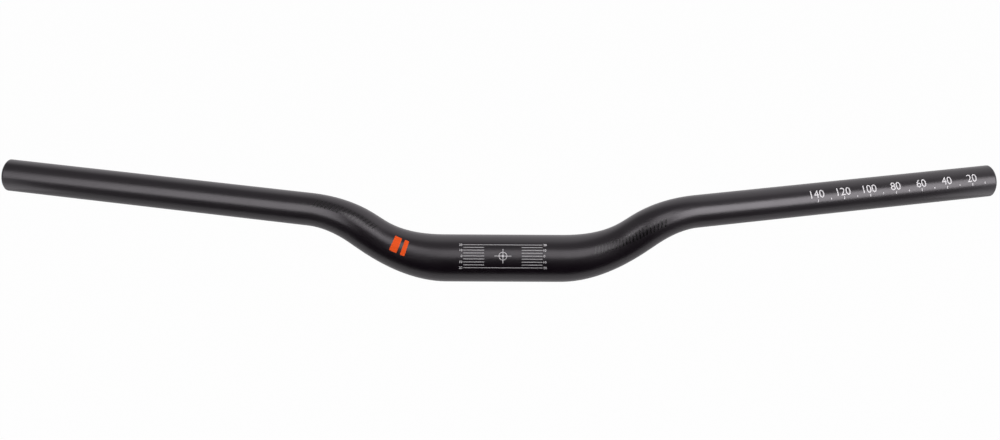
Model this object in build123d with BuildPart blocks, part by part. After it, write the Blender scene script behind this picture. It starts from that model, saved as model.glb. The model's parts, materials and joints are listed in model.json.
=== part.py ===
from build123d import *
import os
from math import cos, radians, sin, tan

# A riser handlebar for a bicycle. It is one aluminium tube: thick and straight where the stem
# clamps it, bent up and back over two bends on each side, and drawn down to the grip diameter.
# The origin is the middle of the clamp seat, +X runs along the clamp axis to the rider's left,
# +Y points back to the rider and +Z points up. Lengths are in millimetres, angles in degrees.

# Form of the centre line
bar_width = 700.0
rise = 30.0
backsweep = 16.0
leg_backsweep = 8.0
clamp_seat_length = 76.0
clamp_bend_radius = 90.0
grip_bend_radius = 66.0
leg_straight = 8.0

# Outside of the tube
clamp_diameter = 31.8
leg_diameter = 26.0
grip_diameter = 22.2

# Wall of the tube, thickest under the clamp and thinnest under the grips
clamp_wall = 2.4
leg_wall = 2.2
grip_wall = 2.0

# Edges of the open ends
rim_chamfer = 1.0
bore_chamfer = 0.5

# Sections that carry each taper
taper_steps = 6

# Halvings of the search for the slope of the legs
slope_halvings = 50
steepest_slope = 90.0


def heading(sweep_back, slope):
    """Direction of a run of the tube that is swept back in plan and climbs at a slope."""
    level = Vector(cos(radians(sweep_back)), sin(radians(sweep_back)), 0)
    return level * cos(radians(slope)) + Vector(0, 0, sin(radians(slope)))


def setback(radius, before, after):
    """Length of straight run that a bend takes up on each side of its corner."""
    return radius * tan(radians(before.get_angle(after)) / 2)


clamp_heading = heading(0, 0)
grip_heading = heading(backsweep, 0)


def leg_reach(slope):
    """Distance between the corners of the two bends, for legs that climb at a slope."""
    leg_heading = heading(leg_backsweep, slope)
    clamp_setback = setback(clamp_bend_radius, clamp_heading, leg_heading)
    grip_setback = setback(grip_bend_radius, leg_heading, grip_heading)
    return clamp_setback + leg_straight + grip_setback


def slope_for_rise():
    """Slope at which the two bends and the straight between them climb by the rise."""
    low, high = 0.0, steepest_slope
    for _ in range(slope_halvings):
        middle = (low + high) / 2
        if leg_reach(middle) * sin(radians(middle)) < rise:
            low = middle
        else:
            high = middle
    return middle


leg_slope = slope_for_rise()
leg_heading = heading(leg_backsweep, leg_slope)

# Corners of the +X half of the centre line, from the middle of the seat to the bar's end
clamp_setback = setback(clamp_bend_radius, clamp_heading, leg_heading)
clamp_corner = clamp_heading * (clamp_seat_length / 2 + clamp_setback)
grip_corner = clamp_corner + leg_heading * leg_reach(leg_slope)
rim_radius = grip_diameter / 2 - rim_chamfer
end_x = bar_width / 2 - rim_radius * sin(radians(backsweep))
bar_end = grip_corner + grip_heading * ((end_x - grip_corner.X) / grip_heading.X)

with BuildLine() as centre_line:
    FilletPolyline(
        (0, 0, 0),
        clamp_corner,
        grip_corner,
        bar_end,
        radius=(clamp_bend_radius, grip_bend_radius),
    )
seat_run, clamp_bend, leg_run, grip_bend, grip_run = centre_line.edges().sort_by(Axis.X)
bend_path = Wire([clamp_bend, leg_run, grip_bend])


def eased(start, end, share):
    """Size at a share of a taper that starts and ends without a kink."""
    return start + (end - start) * share**2 * (3 - 2 * share)


def taper_sections(clamp_size, leg_size, grip_size):
    """Places along the bends and the diameters there, for one taper over each bend."""
    grip_taper = leg_run.length + grip_bend.length
    shares = [step / taper_steps for step in range(taper_steps + 1)]
    for share in shares[:-1]:
        yield clamp_bend.length * share, eased(clamp_size, leg_size, share)
    for share in shares:
        yield clamp_bend.length + grip_taper * share, eased(leg_size, grip_size, share)


def drawn_bar(clamp_size, leg_size, grip_size):
    """Solid bar along the centre line, with a diameter for the seat, the legs and the grips."""
    with BuildPart() as arm:
        for distance, size in taper_sections(clamp_size, leg_size, grip_size):
            place = bend_path.location_at(distance, PositionMode.LENGTH, FrameMethod.CORRECTED)
            with BuildSketch(Plane(place)):
                Circle(size / 2)
        sweep(path=bend_path, multisection=True)
        with BuildSketch(Plane(origin=grip_run @ 0, z_dir=grip_heading)):
            Circle(grip_size / 2)
        extrude(amount=grip_run.length)
    with BuildPart() as bar:
        with BuildSketch(Plane.YZ):
            Circle(clamp_size / 2)
        extrude(amount=clamp_seat_length / 2, both=True)
        add(arm.part)
        mirror(arm.part, about=Plane.YZ)
    return bar.part


outside = drawn_bar(clamp_diameter, leg_diameter, grip_diameter)
bore = drawn_bar(
    clamp_diameter - 2 * clamp_wall,
    leg_diameter - 2 * leg_wall,
    grip_diameter - 2 * grip_wall,
)

with BuildPart() as handlebar:
    add(outside)
    add(bore, mode=Mode.SUBTRACT)
    end_faces = handlebar.faces().filter_by(GeomType.PLANE)
    chamfer(end_faces.edges().group_by(SortBy.RADIUS)[-1], length=rim_chamfer)
    end_faces = handlebar.faces().filter_by(GeomType.PLANE)
    chamfer(end_faces.edges().group_by(SortBy.RADIUS)[0], length=bore_chamfer)

handlebar.part.label = "handlebar"
os.makedirs("parts", exist_ok=True)
export_step(handlebar.part, "parts/handlebar.step")

box = handlebar.part.bounding_box()
print("leg slope", round(leg_slope, 2), "straight grip", round(grip_run.length, 2))
print("bar end", bar_end, "size", box.size)
print("volume", round(handlebar.part.volume), "faces", len(handlebar.faces()))
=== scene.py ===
# %% [markdown]
# # A riser handlebar in satin black
#
# A riser bar is one aluminium tube. It is thick and straight in the middle, where the stem clamps it, and
# two bends on each side lift it and sweep it back to the thin grip ends. The packed part is the fixed frame
# of this lesson: every piece made here is in metres and in the same place, so nothing has to be fitted
# afterwards.

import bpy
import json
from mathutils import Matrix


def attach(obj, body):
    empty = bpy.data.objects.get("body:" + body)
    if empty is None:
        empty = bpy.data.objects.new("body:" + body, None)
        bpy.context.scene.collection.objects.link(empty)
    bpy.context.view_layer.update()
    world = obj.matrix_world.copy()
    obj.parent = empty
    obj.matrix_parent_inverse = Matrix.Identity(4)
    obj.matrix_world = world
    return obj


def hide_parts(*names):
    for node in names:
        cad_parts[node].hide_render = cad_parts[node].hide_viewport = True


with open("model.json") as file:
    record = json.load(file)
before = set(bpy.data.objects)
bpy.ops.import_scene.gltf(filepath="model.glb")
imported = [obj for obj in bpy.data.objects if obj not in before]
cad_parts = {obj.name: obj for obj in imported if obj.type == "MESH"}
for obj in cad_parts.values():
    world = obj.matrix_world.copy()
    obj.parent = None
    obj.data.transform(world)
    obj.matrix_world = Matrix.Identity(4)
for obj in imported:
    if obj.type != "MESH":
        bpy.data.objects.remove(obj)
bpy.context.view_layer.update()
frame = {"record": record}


# %% [markdown]
# ## Sizes
#
# The frame's record states the places where a stem, grips and end plugs fit, with their real sizes. The
# clamp seat, the grips and the bore are read from there. The record says nothing of the bends, the butted
# wall and the edges of the rims, so these are named where they are first needed.

# %% Read the sizes
import json
import math

import bmesh
import bpy
from mathutils import Matrix, Vector

MM = 0.001
mounts = {mount["name"]: mount for mount in frame["record"]["mounts"]}


def mount_size(name, size):
    """One size of a mount, in metres."""
    return mounts[name]["dims"][size] * MM


def in_mm(lengths):
    """Lengths in millimetres, short enough to print."""
    return [round(length / MM, 2) for length in lengths]


clamp_heading = Vector(mounts["stem_clamp"]["axis"])
clamp_radius = mount_size("stem_clamp", "r_mm")
seat_half = mount_size("stem_clamp", "length_mm") / 2
grip_heading = Vector(mounts["grip_left"]["axis"])
grip_middle = Vector(mounts["grip_left"]["pos_m"])
grip_radius = mount_size("grip_left", "r_mm")
grip_length = mount_size("grip_left", "length_mm")
grip_bore = mount_size("bar_end_left", "r_mm")
print("radius and length of the seat in mm:", in_mm([clamp_radius, 2 * seat_half]))
print("radius, length and bore of a grip in mm:", in_mm([grip_radius, grip_length, grip_bore]))

# %% [markdown]
# ## The centre line
#
# A tube bender works along a centre line: straight on, round a bend, straight on. A Blender curve could
# follow it, but its handles only come close to a true round bend. Here each bend touches the straight runs
# on both sides of it, and the length that it takes from each run depends on how far it turns. So the leg
# between the two bends is found by trying its direction again until both bends fit.

# %% Find the leg between the bends
clamp_bend_radius = 90 * MM
grip_bend_radius = 66 * MM
leg_tries = 60


def setback(radius, before, after):
    """Length that a bend takes from the run on each side of its corner."""
    return radius * math.tan(before.angle(after) / 2)


grip_start = grip_middle - grip_heading * (grip_length / 2)
leg_heading = (grip_start - clamp_heading * seat_half).normalized()
for _ in range(leg_tries):
    clamp_setback = setback(clamp_bend_radius, clamp_heading, leg_heading)
    grip_setback = setback(grip_bend_radius, leg_heading, grip_heading)
    clamp_corner = clamp_heading * (seat_half + clamp_setback)
    grip_corner = grip_start - grip_heading * grip_setback
    leg_heading = (grip_corner - clamp_corner).normalized()

leg_length = (grip_corner - clamp_corner).length - clamp_setback - grip_setback
leg_start = clamp_corner + leg_heading * clamp_setback
leg_end = leg_start + leg_heading * leg_length
print("the leg climbs", round(math.degrees(math.asin(leg_heading.z)), 2), "degrees")

# %% [markdown]
# One half of the bar is now five runs: the seat, a bend, the leg, a bend and the grip. A straight run is
# known by its heading and its length, and a bend by its centre, axis and radius.

# %% Lay out the runs and bends
rim_chamfer = 1.0 * MM


def straight_run(heading, length):
    return {"heading": heading, "length": length}


def bent_run(start, before, after, radius):
    axis = before.cross(after).normalized()
    centre = start + axis.cross(before) * radius
    return {"radius": radius, "axis": axis, "centre": centre, "length": radius * before.angle(after)}


seat_run = straight_run(clamp_heading, seat_half)
clamp_bend = bent_run(clamp_heading * seat_half, clamp_heading, leg_heading, clamp_bend_radius)
leg_run = straight_run(leg_heading, leg_length)
grip_bend = bent_run(leg_end, leg_heading, grip_heading, grip_bend_radius)
grip_run = straight_run(grip_heading, grip_length + rim_chamfer)
runs = [seat_run, clamp_bend, leg_run, grip_bend, grip_run]
half_length = sum(run["length"] for run in runs)
print("runs in mm:", in_mm(run["length"] for run in runs))

# %% [markdown]
# One function carries a ring from the middle of the seat to any distance along the bar: it moves the ring
# along the straight runs and turns it round the bends. The prints and the lamps at the ends use it too.

# %% Carry a ring along the bar
def moved_along(run, distance):
    """Matrix that carries a ring a distance along one run."""
    if "heading" in run:
        return Matrix.Translation(run["heading"] * distance)
    to_centre = Matrix.Translation(run["centre"])
    turn = Matrix.Rotation(distance / run["radius"], 4, run["axis"])
    return to_centre @ turn @ to_centre.inverted()


def carry(distance):
    """Matrix that carries the ring at the middle of the seat to a distance along the centre line."""
    carried = Matrix.Identity(4)
    for run in runs:
        step = min(distance, run["length"])
        carried = moved_along(run, step) @ carried
        distance -= step
    return carried


print("end of the centre line in mm:", in_mm(carry(half_length).translation))

# %% [markdown]
# ## The taper
#
# The tube is drawn down from the clamp to the leg over the first bend, and from the leg to the grip over the
# rest. Both tapers start and end without a kink, so the light runs over them in one band. The bore has the
# same law with its own sizes, which makes the wall thickest under the clamp.

# %% Work out the radius along the bar
leg_radius = 13 * MM
clamp_wall = 2.4 * MM
leg_wall = 2.2 * MM
outer_radii = (clamp_radius, leg_radius, grip_radius)
bore_radii = (clamp_radius - clamp_wall, leg_radius - leg_wall, grip_bore)
shown_places = [place * MM for place in (0, 60, 90, 120, 200)]


def eased(start, end, share):
    """Size at a share of a taper that starts and ends level."""
    share = min(max(share, 0), 1)
    return start + (end - start) * share**2 * (3 - 2 * share)


def tube_radius(distance, radii):
    """Radius at a distance from the middle of the seat."""
    at_clamp, at_leg, at_grip = radii
    past_seat = distance - seat_half
    past_clamp_bend = past_seat - clamp_bend["length"]
    first = eased(at_clamp, at_leg, past_seat / clamp_bend["length"])
    second = eased(at_leg, at_grip, past_clamp_bend / (leg_run["length"] + grip_bend["length"]))
    return first + second - at_leg


print("places along the bar in mm:", in_mm(shown_places))
print("outer radius there in mm:", in_mm(tube_radius(place, outer_radii) for place in shown_places))

# %% [markdown]
# ## The tube
#
# The tube could be a curve with a round bevel, but a curve can't hold two laws of radius and a chamfered
# rim. So it is grown as a bender would make it: a circle in the middle of the seat is extruded along each
# straight run and spun round each bend, one small step at a time, and each new ring is scaled to its radius.
# The skin and the bore are grown the same way.

# %% Take one step with a ring
bend_step = 2 * MM
straight_step = 9 * MM


def step_count(run, length):
    """Number of steps that take a ring over a length of one run."""
    return math.ceil(length / (straight_step if "heading" in run else bend_step))


def only(kind, geometry):
    """The corners, or the edges, among what an operator made."""
    return [item for item in geometry if isinstance(item, kind)]


def ring_corners(ring):
    """The corners of a ring of edges, each once and always in the same order."""
    return list(dict.fromkeys(corner for edge in ring for corner in edge.verts))


def scaled_ring(mesh, ring, factor):
    """Scales a ring of edges about its own middle."""
    corners = ring_corners(ring)
    middle = sum((corner.co for corner in corners), Vector()) / len(corners)
    bmesh.ops.scale(mesh, vec=(factor,) * 3, space=Matrix.Translation(-middle), verts=corners)
    return ring


def next_ring(mesh, ring, run, step):
    """Grows the skin by one step along a run and returns its new end."""
    if "heading" in run:
        grown = bmesh.ops.extrude_edge_only(mesh, edges=ring)["geom"]
        corners = only(bmesh.types.BMVert, grown)
        bmesh.ops.translate(mesh, verts=corners, vec=run["heading"] * step)
    else:
        grown = bmesh.ops.spin(
            mesh,
            geom=ring + ring_corners(ring),
            cent=run["centre"],
            axis=run["axis"],
            angle=step / run["radius"],
            steps=1,
        )["geom_last"]
    return only(bmesh.types.BMEdge, grown)


print("steps along each run:", [step_count(run, run["length"]) for run in runs])

# %% Grow one skin
ring_points = 96
across_the_bar = Matrix.Rotation(math.radians(90), 4, "Y")


def grown_skin(mesh, radii, end_gap):
    """Grows one skin from the middle of the seat to a gap before the rim, and returns its end ring."""
    at_clamp = radii[0]
    bmesh.ops.create_circle(mesh, segments=ring_points, radius=at_clamp, matrix=across_the_bar)
    ring = [edge for edge in mesh.edges if not edge.link_faces]
    travelled = 0.0
    for run in runs:
        length = run["length"] - (end_gap if run is grip_run else 0)
        steps = step_count(run, length)
        for _ in range(steps):
            before = tube_radius(travelled, radii)
            travelled += length / steps
            ring = next_ring(mesh, ring, run, length / steps)
            scaled_ring(mesh, ring, tube_radius(travelled, radii) / before)
    return ring


print("one side of a ring on the seat in mm:", in_mm([2 * clamp_radius * math.sin(math.pi / ring_points)]))

# %% [markdown]
# The rim is where the tube was cut and its edges were broken. A Bevel modifier could break them, but the
# steps of a ring give both chamfers their exact size. The skin narrows by its chamfer, the bore opens by its
# own smaller one, and the skin's end is drawn in as a flat ring until it meets the bore, where the two are
# welded.

# %% Shape the rim
bore_chamfer = 0.5 * MM
support_gap = 1.2 * MM
weld_distance = 0.01 * MM
rim_outer = grip_radius - rim_chamfer
rim_inner = grip_bore + bore_chamfer


def grown_rim(mesh, radii, chamfer, widen):
    """Grows a skin with a support ring close to the rim, then its chamfer, and returns the last ring."""
    at_grip = radii[-1]
    ring = grown_skin(mesh, radii, chamfer + support_gap)
    edge = next_ring(mesh, ring, grip_run, support_gap)
    rim = next_ring(mesh, edge, grip_run, chamfer)
    return scaled_ring(mesh, rim, (at_grip + widen) / at_grip)


def weld(mesh):
    """Joins corners that meet and turns all faces outward."""
    bmesh.ops.remove_doubles(mesh, verts=mesh.verts[:], dist=weld_distance)
    bmesh.ops.recalc_face_normals(mesh, faces=mesh.faces[:])


def half_tube():
    """A bmesh with the skin, the bore and the rim of one half."""
    mesh = bmesh.new()
    grown_rim(mesh, bore_radii, bore_chamfer, bore_chamfer)
    rim = grown_rim(mesh, outer_radii, rim_chamfer, -rim_chamfer)
    flat_ring = next_ring(mesh, rim, grip_run, 0)
    scaled_ring(mesh, flat_ring, rim_inner / rim_outer)
    weld(mesh)
    return mesh


print("radii of the flat of the rim in mm:", in_mm([rim_outer, rim_inner]))

# %% [markdown]
# A fine bevel on every edge that turns sharply gives the thin line of light that a real broken edge shows.
# Then the half is mirrored. Mirroring can turn a mesh inside out, so the two halves are welded and the
# normals are worked out again at the end.

# %% Round the edges and mirror the half
edge_round = 0.18 * MM
edge_round_steps = 2
sharp_angle = math.radians(30)


def new_object(name, mesh):
    """Turns a bmesh into an object at the origin."""
    data = bpy.data.meshes.new(name)
    mesh.to_mesh(data)
    mesh.free()
    made = bpy.data.objects.new(name, data)
    bpy.context.scene.collection.objects.link(made)
    print(name, "has", len(data.polygons), "faces")
    return made


def add_piece(name, mesh):
    """Makes a piece of the bar, which rides on the part."""
    piece = new_object(name, mesh)
    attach(piece, "root")
    return piece


def everything(mesh):
    return mesh.verts[:] + mesh.edges[:] + mesh.faces[:]


def round_sharp_edges(mesh):
    sharp = [edge for edge in mesh.edges if edge.is_manifold and edge.calc_face_angle() > sharp_angle]
    bmesh.ops.bevel(
        mesh,
        geom=sharp,
        offset=edge_round,
        segments=edge_round_steps,
        profile=0.5,
        affect="EDGES",
        material=-1,
    )


def made_tube():
    mesh = half_tube()
    round_sharp_edges(mesh)
    bmesh.ops.mirror(mesh, geom=everything(mesh), axis="X", merge_dist=weld_distance)
    weld(mesh)
    for face in mesh.faces:
        face.smooth = True
    print("the tube has", sum(not edge.is_manifold for edge in mesh.edges), "open edges")
    return add_piece("satin_tube", mesh)


tube = made_tube()
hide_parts("handlebar")

# %% [markdown]
# ## Shader maths as Python
#
# A finish is a handful of nodes. Placed one by one they hide the idea, so a small class wraps a socket:
# adding or multiplying two of them adds the Math node, and `node` adds any other node from its type,
# settings and sockets. A Mix node has sockets for numbers, vectors and colours in one list, so those for
# colours are named by their place in it.

# %% A socket that can be calculated with
mix_factor = 0
mix_first_colour = 6
mix_second_colour = 7
mixed_colour = 2


class Finish:
    """One output of a node, or a whole node tree before its first node."""

    def __init__(self, tree, socket=None):
        self.tree = tree
        self.socket = socket

    def node(self, kind, settings=None, sockets=None, output=0):
        """Adds a node, sets it up, fills or links its sockets and returns one of its outputs."""
        made = self.tree.nodes.new(kind)
        for name, value in (settings or {}).items():
            setattr(made, name, value)
        for name, value in (sockets or {}).items():
            socket = made.inputs[name]
            if isinstance(value, Finish):
                self.tree.links.new(value.socket, socket)
            else:
                socket.default_value = value
        return Finish(self.tree, made.outputs[output] if made.outputs else None)

    def maths(self, operation, first, second):
        return self.node("ShaderNodeMath", {"operation": operation}, {0: first, 1: second})

    def __add__(self, other):
        return self.maths("ADD", self, other)

    def __radd__(self, other):
        return self.maths("ADD", other, self)

    def __sub__(self, other):
        return self.maths("SUBTRACT", self, other)

    def __rsub__(self, other):
        return self.maths("SUBTRACT", other, self)

    def __mul__(self, other):
        return self.maths("MULTIPLY", self, other)

    def __rmul__(self, other):
        return self.maths("MULTIPLY", other, self)

    def between(self, low, high):
        """Colour between two others, by this value."""
        colours = {mix_factor: self, mix_first_colour: low, mix_second_colour: high}
        return self.node("ShaderNodeMix", {"data_type": "RGBA"}, colours, output=mixed_colour)

    def noise(self, scale, detail):
        """Even noise from 0 to 1 on the piece's own coordinates, with a scale in patches for each metre."""
        place = self.node("ShaderNodeTexCoord", output="Object")
        return self.node("ShaderNodeTexNoise", None, {"Vector": place, "Scale": scale, "Detail": detail})


print("methods of a finish:", [name for name in vars(Finish) if not name.startswith("_")])

# %% [markdown]
# ## Satin black
#
# The bar is blasted with fine grit and then dyed black, which leaves a skin that is close to black but
# mirrors lamps in soft bands. A plain dark grey would look like rubber, because the look comes from the
# shine and not the colour: a dark base that leans to purple, as black dyes on aluminium do, a middling
# roughness that wanders a little, and a grain finer than a pixel from a step away.

# %% The finish of the tube
oxide_index = 1.65
oxide_tint = (1.0, 0.98, 1.0, 1)
deep_black = (0.0021, 0.0006, 0.0021, 1)
faded_black = (0.0033, 0.0015, 0.0033, 1)
least_roughness = 0.25
cloud_roughness = 0.06
grain_roughness = 0.04
grain_scale = 4200
cloud_scale = 70
grain_depth = 0.025 * MM
grain_strength = 0.45


def new_finish(name):
    """An empty material and its node tree, ready for maths."""
    material = bpy.data.materials.new(name)
    material.use_nodes = True
    material.node_tree.nodes.clear()
    return material, Finish(material.node_tree)


def set_surface(finish, shader):
    finish.node("ShaderNodeOutputMaterial", None, {"Surface": shader})


def satin_black():
    material, finish = new_finish("satin_black")
    grain = finish.noise(grain_scale, detail=2)
    cloud = finish.noise(cloud_scale, detail=3)
    dents = {"Strength": grain_strength, "Distance": grain_depth, "Height": grain}
    shader = finish.node(
        "ShaderNodeBsdfPrincipled",
        None,
        {
            "Base Color": cloud.between(deep_black, faded_black),
            "Roughness": least_roughness + cloud_roughness * cloud + grain_roughness * grain,
            "Normal": finish.node("ShaderNodeBump", None, dents),
            "IOR": oxide_index,
            "Specular Tint": oxide_tint,
        },
    )
    set_surface(finish, shader)
    return material


tube.data.materials.append(satin_black())
print(tube.name, "wears", tube.data.materials[0].name)

# %% [markdown]
# ## Prints
#
# The prints are thin films of ink. They could be painted by a texture, but then they would have no edge of
# their own. So each one is drawn flat, with its length along the bar and its height round the tube, then cut
# into strips fine enough to bend, given a thickness and laid on the metal. A place on the flat print becomes
# a place on the bar by the same function that carries a ring. Distances below 0 lie on the other half.

# %% Find a place on the bar
def on_bar(along, around, lift):
    """Point at a distance along the bar, a distance up round the tube and a height above its skin."""
    distance = abs(along)
    radius = tube_radius(distance, outer_radii)
    turn = around / radius
    reach = radius + lift
    place = carry(distance) @ Vector((0, -reach * math.cos(turn), reach * math.sin(turn)))
    return Vector((math.copysign(place.x, along), place.y, place.z))


print("front of the seat in mm:", in_mm(on_bar(0, 0, 0)))

# %% Lay a flat print on the bar
ink_height = 0.03 * MM
ink_depth = 0.05 * MM
strip = 0.8 * MM
ink_edge_angle = math.radians(40)
along_axis = 0
around_axis = 1


def cut_in_strips(mesh, axis, size):
    """Cuts a flat print across one axis into strips."""
    places = [corner.co[axis] for corner in mesh.verts]
    normal = Vector()
    normal[axis] = 1
    low, high = min(places), max(places)
    for number in range(1, math.ceil((high - low) / size)):
        bmesh.ops.bisect_plane(
            mesh,
            geom=everything(mesh),
            dist=weld_distance,
            plane_co=normal * (low + number * size),
            plane_no=normal,
        )


def print_on_bar(name, mesh, material, along_strip=None):
    """Bends a flat print round the bar and makes it a piece."""
    cut_in_strips(mesh, around_axis, strip)
    if along_strip:
        cut_in_strips(mesh, along_axis, along_strip)
    bmesh.ops.dissolve_degenerate(mesh, dist=weld_distance, edges=mesh.edges[:])
    weld(mesh)
    for face in mesh.faces:
        if face.normal.z < 0:
            face.normal_flip()
    bmesh.ops.solidify(mesh, geom=mesh.faces[:], thickness=ink_depth)
    top = max(corner.co.z for corner in mesh.verts)
    for corner in mesh.verts:
        corner.co = on_bar(corner.co.x, corner.co.y, corner.co.z - top + ink_height)
    piece = add_piece(name, mesh)
    piece.data.materials.append(material)
    piece.data.shade_smooth()
    piece.data.set_sharp_from_angle(angle=ink_edge_angle)


print("the ink sinks", round((ink_depth - ink_height) / MM, 3), "mm into the skin")

# %% [markdown]
# ## Inks
#
# The white and orange inks are matt and cover well, with a slight speckle where the film is thin. The fine
# lines of the clamp scale have so little ink on them that the black shines through and they look grey. The
# black ink is gloss, so it only shows against the satin by its sharper shine. One function mixes them all,
# because they differ only in colour and shine.

# %% Mix the inks
speckle_scale = 1500
speckle_roughness = 0.1


def ink(name, colour, thin_colour, roughness, shine):
    material, finish = new_finish(name)
    speckle = finish.noise(speckle_scale, detail=2)
    shader = finish.node(
        "ShaderNodeBsdfPrincipled",
        None,
        {
            "Base Color": speckle.between((*thin_colour, 1), (*colour, 1)),
            "Roughness": roughness + speckle_roughness * speckle,
            "Specular IOR Level": shine,
        },
    )
    set_surface(finish, shader)
    return material


white_ink = ink("white_ink", (0.74, 0.74, 0.74), (0.66, 0.66, 0.66), roughness=0.45, shine=0.3)
fine_ink = ink("fine_white_ink", (0.39, 0.39, 0.39), (0.36, 0.36, 0.36), roughness=0.45, shine=0.3)
orange_ink = ink("orange_ink", (0.74, 0.084, 0.010), (0.68, 0.074, 0.008), roughness=0.5, shine=0.12)
gloss_ink = ink("gloss_black_ink", (0.003, 0.003, 0.003), (0.002, 0.002, 0.002), roughness=0.15, shine=0.75)
print("inks:", white_ink.name, fine_ink.name, orange_ink.name, gloss_ink.name)

# %% [markdown]
# ## The clamp scale
#
# A rider sets the bar's angle by a scale in the middle of the seat: lines a small step apart that stop short
# of a field in the middle, with one long line above and one below. An Array modifier could repeat a line,
# but a loop can also make the two outer ones long. Each line is a square of one metre that is scaled to its
# size.

# %% Print the clamp lines
half_unit = 0.5
scale_middle = Vector((-0.7 * MM, 7.85 * MM))
scale_pitch = 2.0 * MM
scale_lines = 4
scale_outer = 26.4 * MM
scale_inner = 12.5 * MM
line_weight = 0.45 * MM


def flat_square(mesh, middle, size):
    """Adds a flat rectangle about its middle and returns its corners."""
    matrix = Matrix.Translation(middle) @ Matrix.Diagonal((*size, 1, 1))
    return bmesh.ops.create_grid(mesh, x_segments=1, y_segments=1, size=half_unit, matrix=matrix)["verts"]


def ink_bar(mesh, left, right, bottom, top):
    """Adds a plain rectangle of ink."""
    middle = ((left + right) / 2, (bottom + top) / 2, 0)
    return flat_square(mesh, middle, (right - left, top - bottom))


def print_clamp_lines():
    mesh = bmesh.new()
    x, y = scale_middle
    for number in range(-scale_lines, scale_lines + 1):
        height = y + number * scale_pitch
        bottom, top = height - line_weight / 2, height + line_weight / 2
        if abs(number) == scale_lines:
            ink_bar(mesh, x - scale_outer, x + scale_outer, bottom, top)
        else:
            ink_bar(mesh, x - scale_outer, x - scale_inner, bottom, top)
            ink_bar(mesh, x + scale_inner, x + scale_outer, bottom, top)
    print_on_bar("clamp_lines", mesh, fine_ink)


print_clamp_lines()

# %% [markdown]
# Every second line has a figure at both ends, which counts from 0 at the middle line. A figure starts as a
# text object in Blender's own typeface, which is made a mesh before it is scaled and placed. On the left it
# ends at its place, and on the right it starts there.

# %% Print the clamp figures
figure_height = 1.6 * MM
figure_gap = 0.7 * MM
figure_step = 5
figure_every = 2


def flat_figures(text):
    """A flat mesh of plain figures."""
    curve = bpy.data.curves.new("figures", "FONT")
    curve.body = str(text)
    lettering = bpy.data.objects.new("figures", curve)
    bpy.context.scene.collection.objects.link(lettering)
    bpy.context.view_layer.update()
    flat = bpy.data.meshes.new_from_object(lettering)
    bpy.data.objects.remove(lettering)
    bpy.data.curves.remove(curve)
    return flat


def ink_number(mesh, text, along, middle, height, share):
    """Adds figures of a height, with a share of their width before the place along the bar."""
    flat = flat_figures(text)
    xs = [corner.co.x for corner in flat.vertices]
    ys = [corner.co.y for corner in flat.vertices]
    scale = height / (max(ys) - min(ys))
    handle = Vector((min(xs) + (max(xs) - min(xs)) * share, (min(ys) + max(ys)) / 2, 0))
    to_place = Matrix.Translation((along, middle, 0)) @ Matrix.Scale(scale, 4)
    flat.transform(to_place @ Matrix.Translation(-handle))
    mesh.from_mesh(flat)
    bpy.data.meshes.remove(flat)


def print_clamp_figures():
    mesh = bmesh.new()
    x, y = scale_middle
    for number in range(-scale_lines, scale_lines + 1, figure_every):
        height = y + number * scale_pitch
        figure = abs(number) * figure_step
        ink_number(mesh, figure, x - scale_outer - figure_gap, height, figure_height, share=1)
        ink_number(mesh, figure, x + scale_outer + figure_gap, height, figure_height, share=0)
    print_on_bar("clamp_figures", mesh, white_ink)


print_clamp_figures()

# %% [markdown]
# The cross in a ring marks the centre of the bar. Two circles are bridged to make the ring, and a filled one
# is the dot.

# %% Print the centre cross
cross_weight = 0.28 * MM
cross_reach = Vector((5.6 * MM, 4.9 * MM))
ring_radius = 2.65 * MM
dot_radius = 0.62 * MM
ring_sides = 48


def print_centre_cross():
    mesh = bmesh.new()
    x, y = scale_middle
    half = cross_weight / 2
    middle = Matrix.Translation((x, y, 0))
    ink_bar(mesh, x - cross_reach.x, x + cross_reach.x, y - half, y + half)
    ink_bar(mesh, x - half, x + half, y + half, y + cross_reach.y)
    ink_bar(mesh, x - half, x + half, y - cross_reach.y, y - half)
    for radius in (ring_radius - half, ring_radius + half):
        bmesh.ops.create_circle(mesh, segments=ring_sides, radius=radius, matrix=middle)
    bmesh.ops.bridge_loops(mesh, edges=[edge for edge in mesh.edges if not edge.link_faces])
    bmesh.ops.create_circle(mesh, cap_ends=True, segments=ring_sides, radius=dot_radius, matrix=middle)
    print_on_bar("centre_cross", mesh, white_ink)


print_centre_cross()

# %% [markdown]
# ## The trim scale
#
# A bar can be cut shorter to suit a rider. A scale along one grip counts the millimetres from the end,
# with a stroke at each place to cut. Every second stroke is longer and has its figure above it. A loop keeps
# the strokes and the figures in step.

# %% Print the trim scale
trim_first = 10
trim_last = 140
trim_step = 10
figured_step = 2 * trim_step
trim_bottom = 1.2 * MM
trim_height = 5.6 * MM
stroke_weight = 0.55 * MM
long_stroke = 2.0 * MM
short_stroke = 1.2 * MM
trim_gap = 0.8 * MM


def print_trim_scale():
    mesh = bmesh.new()
    stroke_top = trim_bottom + long_stroke
    for cut in range(trim_first, trim_last + 1, trim_step):
        place = half_length - cut * MM
        figured = cut % figured_step == 0
        stroke = long_stroke if figured else short_stroke
        ink_bar(mesh, place - stroke_weight / 2, place + stroke_weight / 2, stroke_top - stroke, stroke_top)
        if figured:
            ink_number(mesh, cut, place, stroke_top + trim_gap + trim_height / 2, trim_height, share=0.5)
    print_on_bar("trim_scale", mesh, white_ink)


print_trim_scale()

# %% [markdown]
# ## Orange bars
#
# Two plain orange bars mark one side. A bevel of their corners rounds them, as the mesh of a print screen
# does. They lie where the tube bends, so they are cut into strips along the bar as well as round it.

# %% Print the orange bars
bar_round = 0.5 * MM
corner_steps = 4
bend_strip = 1.5 * MM
orange_middle = 7.6 * MM
orange_height = 10.8 * MM
orange_spans = [(-77.6 * MM, -72.2 * MM), (-69.8 * MM, -66.6 * MM)]


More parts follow.
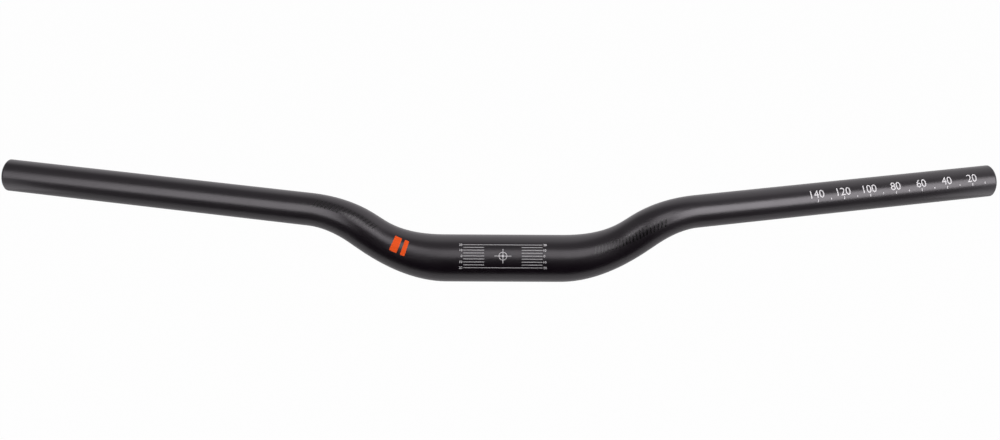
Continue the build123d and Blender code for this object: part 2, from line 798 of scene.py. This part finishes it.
def round_corners(mesh, radius):
    bmesh.ops.bevel(
        mesh,
        geom=mesh.verts[:],
        offset=radius,
        segments=corner_steps,
        profile=0.5,
        affect="VERTICES",
        material=-1,
    )


def print_orange_bars():
    mesh = bmesh.new()
    for left, right in orange_spans:
        ink_bar(mesh, left, right, orange_middle - orange_height / 2, orange_middle + orange_height / 2)
    round_corners(mesh, bar_round)
    print_on_bar("orange_bars", mesh, orange_ink, bend_strip)


print_orange_bars()

# %% [markdown]
# ## Gloss strokes
#
# Rows of slim strokes in gloss black run over the bends, where they only show as the light changes. Each
# stroke is a rectangle that a shear leans over: the higher a corner is, the further it moves along the bar.
# The sides are named as the rider sees them, so the right bend is on the left of the picture.

# %% Print the gloss strokes
stroke_round = 0.2 * MM
stroke_size = Vector((0.9 * MM, 5.6 * MM))
stroke_slant = 0.45
stroke_lean = Matrix.Identity(4)
stroke_lean[0][1] = stroke_slant
right_row = (Vector((-132, 8.3)) * MM, Vector((-94, 10.3)) * MM)
right_row_strokes = 16
left_row = (Vector((63, 8.6)) * MM, Vector((113, 2.7)) * MM)
left_row_strokes = 21


def print_gloss_strokes(name, row, number):
    """Prints leaning strokes from the first place of a row on the flat print to the last."""
    mesh = bmesh.new()
    first, last = row
    half = stroke_size / 2
    for step in range(number):
        x, y = first.lerp(last, step / (number - 1))
        corners = ink_bar(mesh, x - half.x, x + half.x, y - half.y, y + half.y)
        bmesh.ops.transform(mesh, matrix=stroke_lean, space=Matrix.Translation((-x, -y, 0)), verts=corners)
    round_corners(mesh, stroke_round)
    print_on_bar(name, mesh, gloss_ink, bend_strip)


print_gloss_strokes("right_bend_strokes", right_row, right_row_strokes)
print_gloss_strokes("left_bend_strokes", left_row, left_row_strokes)

# %% [markdown]
# ## The studio
#
# Black satin is drawn by what it mirrors. Two large soft boxes stand in front, left and right of the camera,
# and a weaker one hangs above. A pale sheet lies below and a white wall closes the back, while the room in
# front is dark: that gives two soft bands, dark stripes between them and pale rims. An area lamp gives its
# power in watts, so the power is worked out from the brightness that its face should have.

# %% Hang the soft boxes
box_distance = 8.0
studio_white = (1.0, 0.965, 1.0)


def aimed_from(azimuth, elevation, distance):
    """Step away from a target. Azimuth 0 is in front and grows to the right of the picture."""
    turn, rise = math.radians(azimuth), math.radians(elevation)
    level = Vector((math.sin(turn), -math.cos(turn), 0)) * math.cos(rise)
    return (level + Vector((0, 0, math.sin(rise)))) * distance


def hang_lamp(name, target, away, size, radiance):
    """A rectangular lamp of a size and a brightness, a step away from its target and turned to it."""
    lamp = bpy.data.lights.new(name, "AREA")
    lamp.shape = "RECTANGLE"
    lamp.color = studio_white
    lamp.size, lamp.size_y = size
    lamp.energy = radiance * math.pi * lamp.size * lamp.size_y
    holder = bpy.data.objects.new(name, lamp)
    holder.location = target + away
    holder.rotation_euler = (-away).to_track_quat("-Z", "Y").to_euler()
    holder.visible_camera = False
    bpy.context.scene.collection.objects.link(holder)
    print(name, round(lamp.energy, 3), "W")


def soft_box(name, azimuth, elevation, wide, tall, radiance):
    """A far lamp that is as wide and tall as these angles, seen from the bar."""
    size = [2 * box_distance * math.tan(math.radians(angle) / 2) for angle in (wide, tall)]
    hang_lamp(name, Vector(), aimed_from(azimuth, elevation, box_distance), size, radiance)


soft_box("left_box", azimuth=-35.5, elevation=23.5, wide=29, tall=44.5, radiance=2.95)
soft_box("right_box", azimuth=45, elevation=20, wide=32, tall=41.5, radiance=4.65)
soft_box("top_box", azimuth=11, elevation=43.5, wide=22.5, tall=37, radiance=2.05)

# %% [markdown]
# A black end melts into a dark stripe. On a real set a small white card stands just outside each end and
# below it, close enough to light the last few centimetres and no more. A faint lamp of the card's size does
# the same here.

# %% Set a card at each end
card_distance = 0.07
card_size = (0.08, 0.10)
card_azimuth = 65
card_elevation = -36
card_radiance = 0.6


def end_card(name, side):
    """A card outside one end of the bar: a side of 1 is the right of the picture and -1 the left."""
    end = carry(half_length).translation
    end.x *= side
    away = aimed_from(card_azimuth * side, card_elevation, card_distance)
    hang_lamp(name, end, away, card_size, card_radiance)


end_card("left_card", -1)
end_card("right_card", 1)

# %% [markdown]
# ## The floor
#
# The bar hangs well above a pale sheet. A plain white sheet would turn grey away from the lamps, so the
# camera sees it as even white and the picture has no horizon. A small share of the sheet's own shading stays
# in, so that it still takes the bar's shadow, and that share fades out before the sheet ends.

# %% Weave the sheet
floor_front = -0.2
floor_back = 6.0
floor_half = 5.0
fade_width = 0.4
shadow_share = 0.025
mirrored_share = 0.1
cloth_scale = 8
cloth_grey = (0.60, 0.60, 0.60, 1)
cloth_pale = (0.64, 0.64, 0.64, 1)
pure_white = (1, 1, 1, 1)


def rays(finish, kind):
    """1 on rays of one kind and 0 on all others."""
    return finish.node("ShaderNodeLightPath", output=f"Is {kind} Ray")


def parts_of(finish, vector, axes):
    """The parts of a vector along these axes."""
    return [finish.node("ShaderNodeSeparateXYZ", None, {0: vector}, output=axis) for axis in axes]


def ramp(finish, value, low, high):
    """0 at one value and 1 at another, eased between them."""
    stops = {"Value": value, "From Min": low, "From Max": high}
    return finish.node("ShaderNodeMapRange", {"interpolation_type": "SMOOTHSTEP"}, stops)


def well_inside(finish, value, low, high):
    """1 between two edges and 0 at both of them."""
    return ramp(finish, value, low, low + fade_width) * ramp(finish, value, high, high - fade_width)


def pale_sheet():
    material, finish = new_finish("pale_sheet")
    place = finish.node("ShaderNodeTexCoord", output="Object")
    side, depth = parts_of(finish, place, "XY")
    inside = well_inside(finish, depth, floor_front, floor_back)
    inside = inside * well_inside(finish, side, -floor_half, floor_half)
    colour = finish.noise(cloth_scale, detail=2).between(cloth_grey, cloth_pale)
    matt = {"Base Color": colour, "Roughness": 1.0, "Specular IOR Level": 0.0}
    shaded = finish.node("ShaderNodeBsdfPrincipled", None, matt)
    white = finish.node("ShaderNodeEmission", None, {"Color": pure_white, "Strength": 1.0})
    looking = rays(finish, "Camera") + rays(finish, "Transmission")
    seen = looking * (1 - inside * shadow_share) + rays(finish, "Glossy") * mirrored_share
    set_surface(finish, finish.node("ShaderNodeMixShader", None, {0: seen, 1: shaded, 2: white}))
    return material


sheet = pale_sheet()
print(sheet.name, "has", len(sheet.node_tree.nodes), "nodes")

# %% Lay the floor
floor_level = -0.35


def lay_floor():
    mesh = bmesh.new()
    middle = (0, (floor_back + floor_front) / 2, floor_level)
    flat_square(mesh, middle, (2 * floor_half, floor_back - floor_front))
    floor = new_object("floor", mesh)
    floor.data.materials.append(sheet)


lay_floor()

# %% [markdown]
# ## The room
#
# The world stands for the rest of the room: a white wall at the back, a dim ceiling, dim sides and a dark
# front. A picture of a real studio could be wrapped round the scene, but three ramps over the direction of
# view are enough for a tube. The camera sees the room as even white. The bar mirrors the wall along its
# rims, in the white of the lamps.

# %% Paint the room
wall_level = 0.68
wall_turn = 0.55
wall_edge = (0.1, 0.6)
ceiling_level = 0.32
ceiling_edge = (0.2, 1.0)
sides_level = 0.28
sides_edge = (0.5, 0.65)
mirrored_white = (*studio_white, 1)


def paint_room():
    world = bpy.data.worlds.new("studio")
    bpy.context.scene.world = world
    world.use_nodes = True
    world.node_tree.nodes.clear()
    finish = Finish(world.node_tree)
    direction = finish.node("ShaderNodeTexCoord", output="Generated")
    side, back, up = parts_of(finish, direction, "XYZ")
    across = finish.node("ShaderNodeMath", {"operation": "ABSOLUTE"}, {0: side})
    wall = ramp(finish, back + side * wall_turn, *wall_edge) * wall_level
    light = wall + ramp(finish, up, *ceiling_edge) * ceiling_level
    light = light + ramp(finish, across, *sides_edge) * sides_level
    room = finish.node("ShaderNodeBackground", None, {"Color": mirrored_white, "Strength": light})
    wall_white = rays(finish, "Camera").between(mirrored_white, pure_white)
    white = finish.node("ShaderNodeBackground", None, {"Color": wall_white, "Strength": 1.0})
    seen = rays(finish, "Camera") + rays(finish, "Transmission") + rays(finish, "Glossy") * wall
    mixed = finish.node("ShaderNodeMixShader", None, {0: seen, 1: room, 2: white})
    finish.node("ShaderNodeOutputWorld", None, {"Surface": mixed})
    print(world.name, "has", len(world.node_tree.nodes), "nodes")


paint_room()

# %% [markdown]
# ## The camera
#
# The camera stands in front of the bar and looks down on it. Its place, turn and focal length are those of
# the photograph, so the render can be laid over it.

# %% Set up the camera
camera_place = Vector((-0.02782, -1.06491, 0.45985))
camera_turn = -1.353
camera_tilt = 22.079
camera_roll = 0.82
camera_lens = 61.864
sensor_width = 36

camera = bpy.data.objects.new("camera", bpy.data.cameras.new("camera"))
camera.data.sensor_width = sensor_width
camera.data.lens = camera_lens
aim = Matrix.Rotation(math.radians(camera_turn), 4, "Z")
aim = aim @ Matrix.Rotation(math.radians(90 - camera_tilt), 4, "X")
aim = aim @ Matrix.Rotation(math.radians(camera_roll), 4, "Z")
camera.matrix_world = Matrix.Translation(camera_place) @ aim
bpy.context.scene.collection.objects.link(camera)
bpy.context.scene.camera = camera
bpy.context.scene.view_settings.view_transform = "Standard"
print("camera", round(camera_place.length, 3), "m from the middle of the seat")

# %% [markdown]
# The finished pieces have to keep to the box of the packed part.
